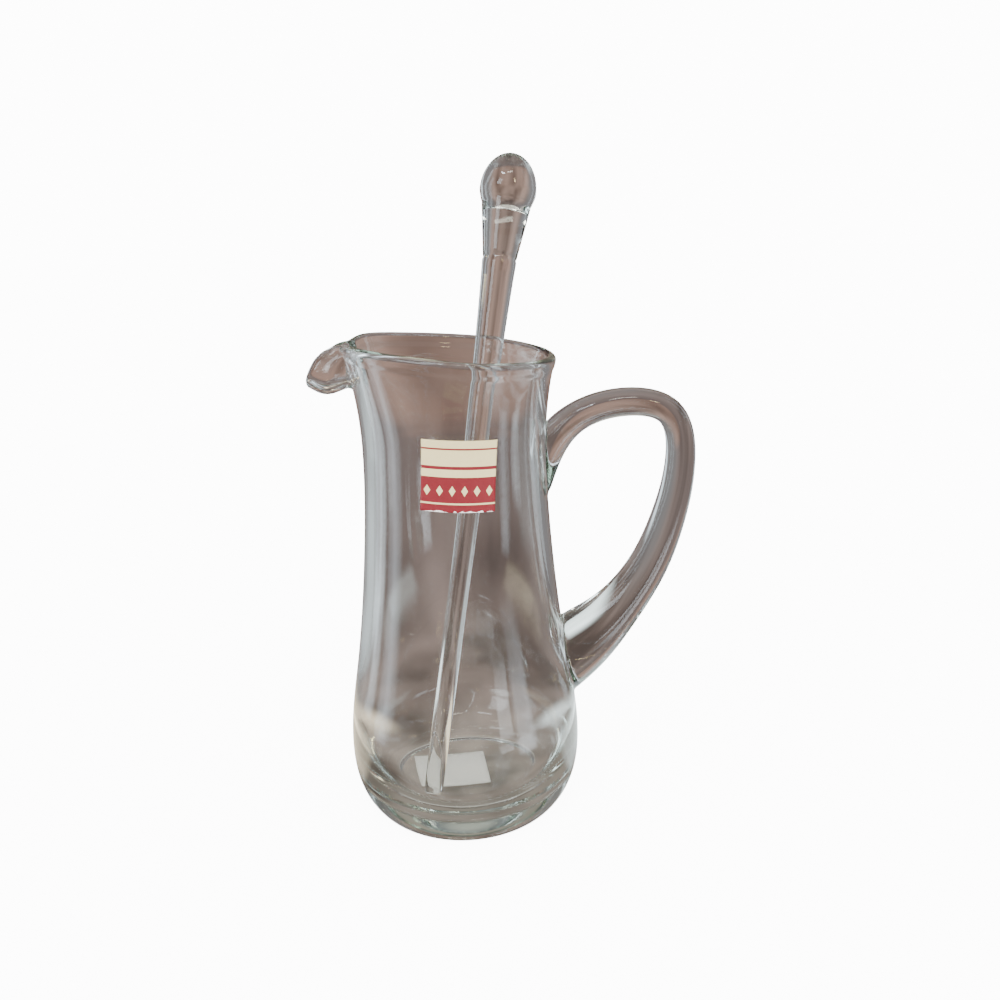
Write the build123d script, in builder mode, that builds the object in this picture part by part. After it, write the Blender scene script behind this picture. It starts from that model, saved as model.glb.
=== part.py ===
from build123d import *
import os
from math import cos, hypot, radians, sin, sqrt, tan

os.makedirs("parts", exist_ok=True)

# Cocktail pitcher with a loose stirrer, in millimetres. +Z is up and the table is at Z 0.
# The jug's axis is the Z axis, the handle is at +X and the pouring lip at -X.

# Jug wall, outside: radius and height of the places that the wall line runs through
foot_contact_radius = 45.0
foot_edge_radius = 49.5
foot_edge_height = 3.4
foot_edge_slope = 34.0
bulge_radius = 55.4
bulge_height = 29.0
shoulder_radius = 50.3
shoulder_height = 70.0
middle_radius = 42.9
middle_height = 130.0
waist_radius = 40.6
waist_height = 174.0
rim_radius = 46.0
rim_height = 218.0
rim_flare = 15.5
rim_slant = 5.0

# Glass thickness at the same places, and at the base
bulge_wall = 3.4
shoulder_wall = 3.5
middle_wall = 4.2
waist_wall = 4.6
rim_wall = 4.0
rim_round = 0.9
base_thickness = 8.0
floor_radius = 29.0
floor_corner_radius = 48.2
floor_corner_rise = 11.0
floor_corner_slope = 30.0
base_hollow_radius = 37.0
base_hollow_slope = 4.0
base_hollow_depth = 1.2

# Pouring lip: a deep channel pulled out of the rim and turned down
lip_reach = 62.6
lip_depth = 21.5
lip_wall = 3.0
lip_root_width = 21.0
lip_brow_reach = 55.6
lip_brow_width = 20.0
lip_brow_drop = 4.2
lip_tip_width = 15.0
lip_tip_rise = 1.5
lip_tip_height = 6.0
lip_crease_round = 3.0

# Handle, from its upper root to its lower root: the places that its middle line runs through in the
# XZ plane, and the thickness in that plane and the width across it there
handle_upper_root_height = 155.0
handle_upper_root_sink = 9.0
handle_upper_root_thickness = 21.0
handle_upper_root_width = 22.0
handle_rise_reach = 52.0
handle_rise_height = 184.0
handle_rise_thickness = 13.6
handle_rise_width = 16.0
handle_top_reach = 76.0
handle_top_height = 191.6
handle_top_thickness = 12.6
handle_top_width = 15.5
handle_bend_reach = 95.5
handle_bend_height = 186.5
handle_bend_thickness = 12.2
handle_bend_width = 15.5
handle_reach = 101.4
handle_reach_height = 161.0
handle_reach_thickness = 13.7
handle_reach_width = 16.0
handle_back_reach = 97.0
handle_back_height = 137.0
handle_back_thickness = 15.8
handle_back_width = 17.0
handle_fall_reach = 89.2
handle_fall_height = 115.3
handle_fall_thickness = 18.0
handle_fall_width = 18.0
handle_calf_reach = 73.6
handle_calf_height = 91.5
handle_calf_thickness = 23.2
handle_calf_width = 21.0
handle_foot_reach = 57.8
handle_foot_height = 76.2
handle_foot_thickness = 32.0
handle_foot_width = 25.0
handle_lower_root_height = 61.0
handle_lower_root_sink = 14.0
handle_lower_root_thickness = 38.0
handle_lower_root_width = 28.0
handle_sections = 20
handle_seam = 0.02

# Stirrer: its rod widens from the tip past the grip to the neck, where the drop-shaped knob begins
stirrer_length = 304.5
stirrer_tip_diameter = 8.8
stirrer_grip_diameter = 12.6
stirrer_grip_drop = 47.0
stirrer_neck_diameter = 15.8
knob_length = 52.5
knob_ring_diameter = 23.2
knob_ring_drop = 10.5
knob_diameter = 26.3
knob_crown = 17.0
knob_side_round = 22.0

# Where the stirrer stands in the jug: its tip on the floor and its rod against the rim
stirrer_clearance = 0.3
stirrer_tip_plan_radius = 37.0
stirrer_tip_angle = 244.0
stirrer_rim_angle = 59.0

# Paper labels
paper_thickness = 0.2
glue_gap = 0.1
front_label_side = 30.0
front_label_height = 171.8
front_label_angle = -87.5
front_label_tilt = 3.6
base_label_side = 36.0
base_label_aside = -8.0
base_label_turn = 6.0

# Room that a cutting shape takes beyond what it cuts
overcut = 20.0

wall_top = rim_height + overcut
rim_spread = overcut * tan(radians(rim_flare))


def heading(degrees_up):
    """Direction in a sketch, turned up from its X axis."""
    return (cos(radians(degrees_up)), sin(radians(degrees_up)))


def body_line(shift=0.0):
    """Outer wall line from the foot edge up to the waist, moved out by shift."""
    places = [
        (foot_edge_radius + shift, foot_edge_height),
        (bulge_radius + shift, bulge_height),
        (shoulder_radius + shift, shoulder_height),
        (middle_radius + shift, middle_height),
        (waist_radius + shift, waist_height),
    ]
    return Spline(*places, tangents=[heading(90 - foot_edge_slope), heading(90)])


def neck_line(shift=0.0):
    """Outer wall line from the waist up past the rim, moved out by shift."""
    places = [
        (waist_radius + shift, waist_height),
        (rim_radius + shift, rim_height),
        (rim_radius + rim_spread + shift, wall_top),
    ]
    return Spline(*places, tangents=[heading(90), heading(90 - rim_flare)])


def cavity_body_line():
    """Inner wall line from the floor corner up to the waist."""
    places = [
        (floor_corner_radius, base_thickness + floor_corner_rise),
        (bulge_radius - bulge_wall, bulge_height),
        (shoulder_radius - shoulder_wall, shoulder_height),
        (middle_radius - middle_wall, middle_height),
        (waist_radius - waist_wall, waist_height),
    ]
    return Spline(*places, tangents=[heading(90 - floor_corner_slope), heading(90)])


def cavity_neck_line():
    """Inner wall line from the waist up past the rim."""
    places = [
        (waist_radius - waist_wall, waist_height),
        (rim_radius - rim_wall, rim_height),
        (rim_radius - rim_wall + rim_spread, wall_top),
    ]
    return Spline(*places, tangents=[heading(90), heading(90 - rim_flare)])


def rim_height_at(x):
    """Height of the slanted rim at a place along X."""
    return rim_height - x * tan(radians(rim_slant))


def radius_at(curve, height):
    """Radius, or another size drawn along X, of a rising line at a height."""
    low = 0.0
    high = 1.0
    for _ in range(40):
        middle = (low + high) / 2
        if (curve @ middle).Y < height:
            low = middle
        else:
            high = middle
    return (curve @ low).X


def jug_section(shift=0.0):
    """Half section of the jug's outer form, solid to its axis, with the wall moved out by shift."""
    with BuildSketch(Plane.XZ) as section:
        with BuildLine():
            body = body_line(shift)
            neck = neck_line(shift)
            Spline((foot_contact_radius, 0), body @ 0, tangents=[(1, 0), body % 0])
            Polyline((foot_contact_radius, 0), (0, 0), (0, wall_top), neck @ 1)
        make_face()
    return section.sketch


# Outer form of the jug, without the lip
with BuildPart() as jug_form:
    revolve(jug_section(), axis=Axis.Z)

# Inside of the jug, as a solid
with BuildPart() as cavity_form:
    with BuildSketch(Plane.XZ):
        with BuildLine():
            body = cavity_body_line()
            neck = cavity_neck_line()
            floor_end = (floor_radius, base_thickness)
            Spline(floor_end, body @ 0, tangents=[(1, 0), body % 0])
            Polyline(floor_end, (0, base_thickness), (0, wall_top), neck @ 1)
        make_face()
    revolve(axis=Axis.Z)

# Lip: U-shaped sections across the X axis, open at the top
lip_brow_height = rim_height_at(-rim_radius)
lip_underside = lip_brow_height - lip_depth
channel_bottom = lip_underside + lip_wall
lip_start = -rim_radius / 2


def lip_section(x, width, bottom):
    """One section of the lip, carried up past the rim."""
    half = width / 2
    flank_top = lip_brow_height + rim_wall
    with BuildSketch(Plane.YZ.offset(x)) as section:
        with BuildLine():
            Spline((-half, flank_top), (0, bottom), (half, flank_top), tangents=[(0, -1), (1, 0), (0, 1)])
            Polyline((half, flank_top), (half, wall_top), (-half, wall_top), (-half, flank_top))
        make_face()
    return section.sketch


with BuildPart() as lip_form:
    loft([
        lip_section(lip_start, lip_root_width, lip_underside),
        lip_section(-lip_brow_reach, lip_brow_width, lip_underside),
        lip_section(-lip_reach, lip_tip_width, lip_underside + lip_tip_rise),
    ])

with BuildPart() as channel_form:
    loft([
        lip_section(lip_start, lip_root_width - 2 * lip_wall, channel_bottom),
        lip_section(-lip_brow_reach, lip_brow_width - 2 * lip_wall, channel_bottom),
        lip_section(-lip_reach - lip_wall, lip_tip_width - 2 * lip_wall, channel_bottom + lip_tip_rise),
    ])

# Outside and inside of the jug, each with the lip's crease rounded
with BuildPart() as jug_outside:
    add(jug_form.part)
    add(lip_form.part)
    crease = new_edges(jug_form.part, lip_form.part, combined=jug_outside.part)
    fillet(crease, lip_crease_round)

with BuildPart() as jug_inside:
    add(cavity_form.part)
    add(channel_form.part)
    crease = new_edges(cavity_form.part, channel_form.part, combined=jug_inside.part)
    fillet(crease, lip_crease_round)

# Everything above the slanted rim and the lip's edge
with BuildPart() as above_rim:
    with BuildSketch(Plane.XZ):
        with BuildLine():
            far = rim_radius + overcut
            beyond = -lip_reach - overcut
            rim_end = (-rim_radius, lip_brow_height)
            brow = (-lip_brow_reach, lip_brow_height - lip_brow_drop)
            lip_end = (-lip_reach - lip_wall, lip_underside + lip_tip_height)
            Line((far, rim_height_at(far)), rim_end)
            Spline(rim_end, brow, lip_end, tangents=[heading(180 - rim_slant), (-1, -1), (-0.2, -1)])
            Polyline(lip_end, (beyond, lip_end[1]), (beyond, wall_top + overcut), (far, wall_top + overcut),
                     (far, rim_height_at(far)))
        make_face()
    extrude(amount=far, both=True)

# Jug body: glass wall and base, with the rim and the lip's edge rounded as fire-polished glass is
with BuildPart() as jug_body:
    add(jug_outside.part)
    add(jug_inside.part, mode=Mode.SUBTRACT)
    with BuildSketch(Plane.XZ):
        with BuildLine():
            Polyline((0, 0), (base_hollow_radius, 0),
                     (base_hollow_radius - base_hollow_slope, base_hollow_depth), (0, base_hollow_depth), close=True)
        make_face()
    revolve(axis=Axis.Z, mode=Mode.SUBTRACT)
    uncut = jug_body.part
    add(above_rim.part, mode=Mode.SUBTRACT)
    cut_edges = new_edges(uncut, above_rim.part, combined=jug_body.part)
    tip_edges = faces().sort_by(Axis.X)[0].edges()
    lip_edges = [edge for edge in tip_edges if not any(edge.is_same(other) for other in cut_edges)]
    fillet((cut_edges + lip_edges).filter_by(Axis.Y, reverse=True), rim_round)
jug_body.part.label = "jug_body"
export_step(jug_body.part, "parts/jug_body.step")

# Handle: oval sections along a curved line, with both ends seated on the wall
neck_at_root = radius_at(body_line(), handle_upper_root_height)
belly_at_root = radius_at(body_line(), handle_lower_root_height)
handle_stations = [
    (neck_at_root - handle_upper_root_sink, handle_upper_root_height,
     handle_upper_root_thickness, handle_upper_root_width),
    (handle_rise_reach, handle_rise_height, handle_rise_thickness, handle_rise_width),
    (handle_top_reach, handle_top_height, handle_top_thickness, handle_top_width),
    (handle_bend_reach, handle_bend_height, handle_bend_thickness, handle_bend_width),
    (handle_reach, handle_reach_height, handle_reach_thickness, handle_reach_width),
    (handle_back_reach, handle_back_height, handle_back_thickness, handle_back_width),
    (handle_fall_reach, handle_fall_height, handle_fall_thickness, handle_fall_width),
    (handle_calf_reach, handle_calf_height, handle_calf_thickness, handle_calf_width),
    (handle_foot_reach, handle_foot_height, handle_foot_thickness, handle_foot_width),
    (belly_at_root - handle_lower_root_sink, handle_lower_root_height,
     handle_lower_root_thickness, handle_lower_root_width),
]
handle_line = Spline(*[(x, 0, z) for x, z, thickness, width in handle_stations])
thickness_places = []
width_places = []
for x, z, thickness, width in handle_stations:
    place = handle_line.length * handle_line.param_at_point((x, 0, z))
    thickness_places.append((thickness, place))
    width_places.append((width, place))
thickness_line = Spline(*thickness_places)
width_line = Spline(*width_places)
with BuildPart() as handle:
    for step in range(handle_sections + 1):
        share = step / handle_sections
        place = handle_line.length * share
        with BuildSketch(Plane(origin=handle_line @ share, x_dir=(0, 1, 0), z_dir=handle_line % share)):
            Ellipse(radius_at(width_line, place) / 2, radius_at(thickness_line, place) / 2)
    loft()
    revolve(jug_section(handle_seam), axis=Axis.Z, mode=Mode.SUBTRACT)
handle.part.label = "handle"
export_step(handle.part, "parts/handle.step")

# Stirrer place: the middle of its round tip, and the point where its axis passes the rim
tip_radius = stirrer_tip_diameter / 2
neck_radius = stirrer_neck_diameter / 2
ring_radius = knob_ring_diameter / 2
knob_radius = knob_diameter / 2
neck_place = stirrer_length - knob_length
knob_place = stirrer_length - knob_crown
ring_place = knob_place - knob_ring_drop


def rod_line():
    """Outline of the rod from its round tip up to the knob, by distance from the tip."""
    grip = (stirrer_grip_diameter / 2, neck_place - stirrer_grip_drop)
    return Spline((tip_radius, tip_radius), grip, (neck_radius, neck_place))


def resting_height(plan_radius, ball_radius):
    """Height of the middle of a ball that rests on the jug's floor at a distance from the axis."""
    wall = cavity_body_line()
    corner = Spline((floor_radius, base_thickness), wall @ 0, tangents=[(1, 0), wall % 0])
    height = base_thickness + ball_radius
    for step in range(101):
        place = corner @ (step / 100)
        aside = abs(place.X - plan_radius)
        if aside < ball_radius:
            height = max(height, place.Y + sqrt(ball_radius**2 - aside**2))
    return height


tip_height = resting_height(stirrer_tip_plan_radius, tip_radius + stirrer_clearance)
tip_x = stirrer_tip_plan_radius * cos(radians(stirrer_tip_angle))
tip_y = stirrer_tip_plan_radius * sin(radians(stirrer_tip_angle))
rim_direction_x = cos(radians(stirrer_rim_angle))
rim_direction_y = sin(radians(stirrer_rim_angle))
rest_height = rim_height_at(rim_radius * rim_direction_x)
rest_radius = radius_at(cavity_neck_line(), rest_height)
lean = 0.0
for _ in range(10):
    stretch = sqrt(1 + lean**2)
    rod_radius = radius_at(rod_line(), tip_radius + (rest_height - tip_height) * stretch)
    pass_radius = rest_radius - (rod_radius + stirrer_clearance) * stretch
    run = hypot(pass_radius * rim_direction_x - tip_x, pass_radius * rim_direction_y - tip_y)
    lean = run / (rest_height - tip_height)
stirrer_tip = Vector(tip_x, tip_y, tip_height)
stirrer_pass = Vector(pass_radius * rim_direction_x, pass_radius * rim_direction_y, rest_height)
stirrer_direction = (stirrer_pass - stirrer_tip).normalized()
stirrer_side = stirrer_direction.cross(Vector(0, 0, 1)).normalized()
stirrer_plane = Plane(
    origin=stirrer_tip - stirrer_direction * tip_radius,
    x_dir=stirrer_side,
    z_dir=stirrer_side.cross(stirrer_direction),
)
stirrer_axis = Axis(stirrer_tip, stirrer_direction)

with BuildPart() as stirrer_rod:
    with BuildSketch(stirrer_plane):
        with BuildLine():
            rod_line()
            RadiusArc((0, 0), (tip_radius, tip_radius), -tip_radius)
            Polyline((0, 0), (0, neck_place), (neck_radius, neck_place))
        make_face()
    revolve(axis=stirrer_axis)
stirrer_rod.part.label = "stirrer_rod"
export_step(stirrer_rod.part, "parts/stirrer_rod.step")

# The knob's top is a dome of a smaller round that runs on smoothly from the round of its side
side_middle = knob_side_round - knob_radius
dome_round = (knob_side_round**2 - side_middle**2 - knob_crown**2) / (2 * (knob_side_round - knob_crown))
dome_share = dome_round / (knob_side_round - dome_round)
dome_edge = (side_middle * dome_share, stirrer_length - dome_round + (knob_crown - dome_round) * dome_share)
with BuildPart() as stirrer_knob:
    with BuildSketch(stirrer_plane):
        with BuildLine():
            Line((neck_radius, neck_place), (ring_radius, ring_place))
            TangentArc((knob_radius, knob_place), (ring_radius, ring_place), tangent=(0, -1))
            TangentArc((knob_radius, knob_place), dome_edge, tangent=(0, 1))
            RadiusArc((0, stirrer_length), dome_edge, dome_round)
            Polyline((0, stirrer_length), (0, neck_place), (neck_radius, neck_place))
        make_face()
    revolve(axis=stirrer_axis)
stirrer_knob.part.label = "stirrer_knob"
export_step(stirrer_knob.part, "parts/stirrer_knob.step")

# Front label: a square of paper that follows the wall, a little crooked
label_out = Vector(cos(radians(front_label_angle)), sin(radians(front_label_angle)), 0)
label_across = Vector(-label_out.Y, label_out.X, 0) * cos(radians(front_label_tilt))
label_across = label_across - Vector(0, 0, sin(radians(front_label_tilt)))
with BuildPart() as front_label:
    for line in (body_line, neck_line):
        with BuildSketch(Plane.XZ):
            with BuildLine():
                back = line(glue_gap)
                face = line(glue_gap + paper_thickness)
                Line(back @ 0, face @ 0)
                Line(back @ 1, face @ 1)
            make_face()
    revolve(axis=Axis.Z)
    with BuildSketch(Plane(origin=(0, 0, front_label_height), x_dir=label_across, z_dir=label_out)):
        Rectangle(front_label_side, front_label_side)
    extrude(amount=bulge_radius + overcut, mode=Mode.INTERSECT)
front_label.part.label = "front_label"
export_step(front_label.part, "parts/front_label.step")

# Base label: a square of paper on the ceiling of the hollow under the base
with BuildPart() as base_label:
    with BuildSketch(Plane.XY.offset(base_hollow_depth - glue_gap - paper_thickness)):
        with Locations((base_label_aside, 0)):
            Rectangle(base_label_side, base_label_side, rotation=base_label_turn)
    extrude(amount=paper_thickness)
base_label.part.label = "base_label"
export_step(base_label.part, "parts/base_label.step")
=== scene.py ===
from math import asin, cos, hypot, pi, radians, sin, tan

import bmesh
import bpy
import numpy as np
from mathutils import Matrix, Vector
from mathutils.kdtree import KDTree


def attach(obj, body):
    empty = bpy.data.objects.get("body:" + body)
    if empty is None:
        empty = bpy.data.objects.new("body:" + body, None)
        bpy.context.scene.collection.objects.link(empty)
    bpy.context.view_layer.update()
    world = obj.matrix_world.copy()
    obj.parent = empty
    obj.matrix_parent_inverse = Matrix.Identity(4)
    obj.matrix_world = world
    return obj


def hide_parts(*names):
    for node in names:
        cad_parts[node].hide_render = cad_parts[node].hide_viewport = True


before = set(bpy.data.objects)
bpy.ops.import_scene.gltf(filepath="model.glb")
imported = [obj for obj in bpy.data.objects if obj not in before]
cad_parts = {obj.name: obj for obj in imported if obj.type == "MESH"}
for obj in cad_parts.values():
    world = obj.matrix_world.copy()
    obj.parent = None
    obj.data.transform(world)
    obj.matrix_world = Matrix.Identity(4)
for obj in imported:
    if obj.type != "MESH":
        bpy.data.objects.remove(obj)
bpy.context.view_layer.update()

# Lengths below are in millimetres, and MM turns them into metres where they are used.
# Scales of noise in the materials and the density of the glass are per metre.
MM = 0.001

# Jug wall, as in the solids
FOOT_CONTACT = (45.0, 0.0)
FOOT_EDGE = (49.5, 3.4)
FOOT_EDGE_HEADING = 56.0
BULGE = (55.38, 29.0)
SHOULDER = (50.3, 70.0)
MIDDLE = (42.9, 130.0)
WAIST = (40.6, 174.0)
RIM = (46.0, 218.0)
RIM_FLARE = 15.5
RIM_SLANT = 5.0
WAIST_WALL = 4.6
RIM_WALL = 4.0
BASE_THICKNESS = 8.0
FLOOR_RADIUS = 29.0
FLOOR_CORNER = (48.2, 19.0)
FLOOR_CORNER_HEADING = 60.0
INNER_BULGE = (52.0, 29.0)
INNER_SHOULDER = (46.8, 70.0)
INNER_MIDDLE = (38.7, 130.0)
BASE_RING_INSIDE = 38.0
BASE_HOLLOW_RADIUS = 33.0
BASE_HOLLOW_DEPTH = 1.2

# Points along the jug's lines and columns round it, and how far past the rim the neck's line is drawn
JUG_COLUMNS = 192
OUTER_ROWS = 84
INNER_ROWS = 76
FOOT_ROWS = 12
FLOOR_CORNER_ROWS = 18
HOLLOW_SLOPE_ROWS = 8
FLOOR_ROWS = 9
BASE_RING_ROWS = 5
CEILING_ROWS = 8
NECK_STEPS = 200
NECK_ROWS = 34
CREASE_ROWS = 13
LIP_ROWS = 17
RIM_ROWS = 15
NECK_OVERRUN = 20.0
SPARE_RADIUS = 60.0
SAME_PLACE = 0.001

# Pouring lip: half the width of its root, the height of its crease at the middle, and how its wall runs
LIP_COLUMNS = 56
LIP_SPACING = 0.4
LIP_GATHER = 0.15
LIP_HALF_WIDTH = 8.0
LIP_CREASE_HEIGHT = 203.0
LIP_CREASE_SIZE = 4.0
RIM_CREASE_SIZE = 3.0
LIP_WALL = 3.2
LIP_BULGE = 3.2
LIP_DROOP = 1.4
LIP_SWELL_SKEW = 1.2
LIP_THIN_ROWS = (30, 50)
LIP_THIN_SHARE = 0.7

# Edge of the lip from its middle to where it leaves the rim:
# angle across the channel, reach, half width and height
LIP_EDGE = [
    (0, 60.4, 0.0, 203.4),
    (25, 60.4, 4.4, 206.0),
    (45, 58.2, 5.0, 211.0),
    (60, 55.0, 4.2, 215.0),
    (72, 50.8, 4.0, 217.0),
    (82, 47.2, 4.9, 218.8),
]
LIP_EDGE_STEPS = 400
DEGREES_PER_MM = 6.0

# Mouth: its sides are drawn in, and its edge rises and then dips towards the lip.
# Angles are from the lip's middle.
DRAW_IN = 4.0
DRAW_IN_START = 8.0
DRAW_IN_ANGLE = 70.0
DRAW_IN_SPREAD = 44.0
RIM_RISE = 0.3
RIM_RISE_ANGLE = 36.0
RIM_RISE_SPREAD = 14.0
RIM_DIP = 1.0
RIM_DIP_ANGLES = (8.0, 30.0)
RIM_BEAD = 0.5
RIM_BEAD_HEIGHT = 5.0
RIM_BEAD_FULL = 0.3

# Handle: reach from the axis, height, thickness and width
HANDLE_STATIONS = [
    (32.4, 155.0, 21.0, 22.0),
    (52.0, 184.0, 13.6, 16.0),
    (76.0, 191.6, 12.6, 15.5),
    (95.5, 186.5, 12.2, 15.5),
    (101.35, 161.0, 13.7, 16.0),
    (97.0, 137.0, 15.8, 17.0),
    (89.2, 115.3, 18.0, 18.0),
    (73.6, 91.5, 23.2, 21.0),
    (57.8, 76.2, 32.0, 25.0),
    (37.5, 61.0, 38.0, 28.0),
]
HANDLE_RINGS = 110
HANDLE_SIDES = 48

# Seam of the handle: how deep the handle sinks into the wall, and how the joint is found and rounded
HANDLE_SINK = 1.2
CORE_HEIGHTS = (20.0, 205.0)
CORE_ROWS = 90
CORE_COLUMNS = 128
SEAM_REACH = 20.0
SEAM_HEIGHTS = (30.0, 200.0)
SEAM_MERGE = 0.02
SEAM_ON_WALL = 0.03
SEAM_OFF_WALL = 0.1
SEAM_ROUND = 2.8
SEAM_PASSES = 8
SEAM_EASE = 0.5

# Stirrer: its tip end, the direction that it leans in, and its outline as radius and distance from the tip
STIRRER_TIP = (-16.9145, -34.5405, 10.1151)
STIRRER_DIRECTION = (0.157902, 0.29208, 0.943269)
STIRRER_COLUMNS = 64
TIP_RADIUS = 4.4
TIP_RISE = 0.5
TIP_STEPS = 9
ROD_MIDDLE = (6.3, 205.0)
ROD_TOP = (8.0, 255.0)
ROD_TOP_HEADING = 87.2
ROD_STEPS = 70
NECK_RING = [(7.75, 255.6), (7.7, 256.1), (7.75, 256.6)]
CONE = [(8.0, 257.2), (11.35, 280.4)]
CONE_STEPS = 16
KNOB_RING = [(11.4, 280.9), (11.42, 281.3), (11.55, 281.7)]
FLARE_FOOT = (11.85, 282.2)
FLARE_HEADING = 74.0
FLARE_STEPS = 14
KNOB_WIDEST = (13.15, 287.5)
CROWN_HEIGHT = 17.0
CROWN_STEPS = 17

# Labels
PAPER = 0.2
GLUE_GAP = 0.1
LABEL_SIDE = 30.0
LABEL_HEIGHT = 171.8
LABEL_ANGLE = -87.5
LABEL_TILT = 3.6
LABEL_STEPS = 40
BASE_LABEL_SIDE = 36.0
BASE_LABEL_ASIDE = -8.0
BASE_LABEL_TURN = 6.0
BASE_LABEL_STEPS = 12

# Glass: the tint in its depth, and the faint waves of its surface
GLASS_IOR = 1.5
GLASS_TINT = (0.62, 0.74, 0.66)
GLASS_DENSITY = 9.0
WAVE_SCALE = 28.0
WAVE_STRENGTH = 0.12
WAVE_DEPTH = 0.4

# Papers: darker and lighter fibres of the blank one, and the relief of both
BLANK_LOW = (0.80, 0.78, 0.70)
BLANK_HIGH = (0.88, 0.86, 0.79)
BLANK_FIBRES = 900.0
BLANK_ROUGHNESS = 0.75
LABEL_FIBRES = 700.0
LABEL_ROUGHNESS = 0.42
FIBRE_STRENGTH = 0.2
FIBRE_DEPTH = 0.1

# Print on the front label: colours, where the cream meets the red, rules (height and half width),
# lozenges and worn edge, all as shares of the label's side
CREAM_LOW = (0.53, 0.44, 0.22)
CREAM_HIGH = (0.58, 0.49, 0.255)
RED_LOW = (0.15, 0.002, 0.007)
RED_HIGH = (0.18, 0.004, 0.010)
LABEL_SPLIT = 0.49
RED_RULES = [(0.88, 0.012), (0.62, 0.022)]
CREAM_RULE = (0.12, 0.012)
LOZENGES = 6.0
LOZENGE_HEIGHT = 0.30
LOZENGE_SIZE = 0.045
LOZENGE_SLIMNESS = 0.6
SCUFF_SCALE = 420.0
SCUFF_START = 0.42
SCUFF_DEPTH = 0.11
BARE_PAPER = (0.80, 0.78, 0.74)

# Camera at the photograph's viewpoint
CAMERA_PLACE = (5.7, -370.5, 271.1)
CAMERA_PITCH = 18.368
CAMERA_YAW = 2.149
CAMERA_ROLL = -1.363
CAMERA_LENS = 30.93
CAMERA_SENSOR = 36.0
CAMERA_NEAR = 10.0

# Room that is seen in the glass: its colour by elevation in degrees, from straight down to straight up
ROOM = [
    (-90, (0.40, 0.365, 0.30)),
    (-64, (0.29, 0.245, 0.21)),
    (-50, (0.25, 0.20, 0.175)),
    (-33, (0.27, 0.205, 0.18)),
    (-8.4, (0.20, 0.155, 0.145)),
    (-7.4, (0.37, 0.24, 0.195)),
    (12, (0.33, 0.235, 0.20)),
    (30, (0.16, 0.15, 0.155)),
    (60, (0.30, 0.31, 0.34)),
    (90, (0.8, 0.8, 0.8)),
]
# Windows and lamps in it: turn to the right of straight back, elevation, half width, half height and
# soft edge, all in degrees, then colour and light
WINDOWS = [
    (-62, 30, 42, 62, 20, (1.0, 0.97, 1.0), 0.29),
    (62, 30, 42, 62, 20, (1.0, 0.97, 0.99), 0.25),
    (-74, 14, 9, 36, 6, (0.80, 0.92, 1.0), 4.2),
    (-100, 4, 10, 38, 7, (0.82, 0.91, 1.0), 3.0),
    (62, 14, 7, 36, 5, (0.82, 0.93, 1.0), 1.8),
    (96, 30, 12, 20, 6, (0.84, 0.94, 1.0), 0.9),
    (126, -23, 11, 11, 6, (0.85, 0.93, 1.0), 5.0),
    (-50, -16, 22, 12, 7, (0.88, 0.97, 1.0), 0.9),
    (-68, -46, 34, 15, 10, (1.0, 0.87, 0.64), 2.2),
    (68, -46, 34, 15, 10, (0.88, 1.0, 1.0), 2.6),
    (0, 40, 42, 13, 10, (1.0, 0.96, 0.85), 0.9),
    (168, 60, 18, 3, 2, (1.0, 0.97, 0.86), 15.0),
    (-147, 57, 13, 3, 2, (0.86, 0.94, 1.0), 30.0),
    (-140, 30, 12, 16, 5, (0.88, 0.95, 1.0), 7.0),
    (144, -19, 7, 5, 2, (0.90, 0.96, 1.0), 5.0),
    (150, 36, 5, 5, 3, (1.0, 0.80, 0.45), 22.0),
]
# Lighter and darker patches of the room: how fine, the noise that counts, and the shades it gives
PATCH_SCALE = 2.6
PATCH_NOISE = (0.35, 0.65)
PATCH_SHADES = (0.42, 1.6)
ROOM_MIDDLE_HEIGHT = 100.0

# Studio: light on the object, brightness of what the camera sees behind it, and floor
DAYLIGHT = 4.0
BACKDROP = 13.0
FLOOR_SHADE = 0.86
FLOOR_HALF_SIDE = 6000.0
LIGHT_BOUNCES = 40


def heading(angle):
    """Direction in the radius and height plane, turned up from the radius."""
    return (cos(radians(angle)), sin(radians(angle)))


def smooth_line(places, count, first=None, last=None):
    """Even points along a smooth curve through the places, with end directions where they are given."""
    p = np.array(places, float)
    h = np.linalg.norm(np.diff(p, axis=0), axis=1)
    t = np.concatenate([[0.0], np.cumsum(h)])
    n = len(p)
    a = np.zeros((n, n))
    b = np.zeros_like(p)
    for i in range(1, n - 1):
        a[i, i - 1:i + 2] = 1 / h[i - 1], 2 / h[i - 1] + 2 / h[i], 1 / h[i]
        b[i] = 3 * ((p[i] - p[i - 1]) / h[i - 1] ** 2 + (p[i + 1] - p[i]) / h[i] ** 2)
    if first is None:
        a[0, :2] = 2, 1
        b[0] = 3 * (p[1] - p[0]) / h[0]
    else:
        a[0, 0] = 1
        b[0] = first
    if last is None:
        a[-1, -2:] = 1, 2
        b[-1] = 3 * (p[-1] - p[-2]) / h[-1]
    else:
        a[-1, -1] = 1
        b[-1] = last
    m = np.linalg.solve(a, b)
    s = np.linspace(0, t[-1], count)
    k = np.clip(np.searchsorted(t, s, side="right") - 1, 0, n - 2)
    w = ((s - t[k]) / h[k])[:, None]
    hk = h[k][:, None]
    return ((1 + 2 * w) * (1 - w) ** 2 * p[k] + w * (1 - w) ** 2 * hk * m[k]
            + w ** 2 * (3 - 2 * w) * p[k + 1] + w ** 2 * (w - 1) * hk * m[k + 1])


def ease(x, low, high):
    """Smooth step from 0 at low to 1 at high."""
    x = np.clip((x - low) / (high - low), 0, 1)
    return x * x * (3 - 2 * x)


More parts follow.
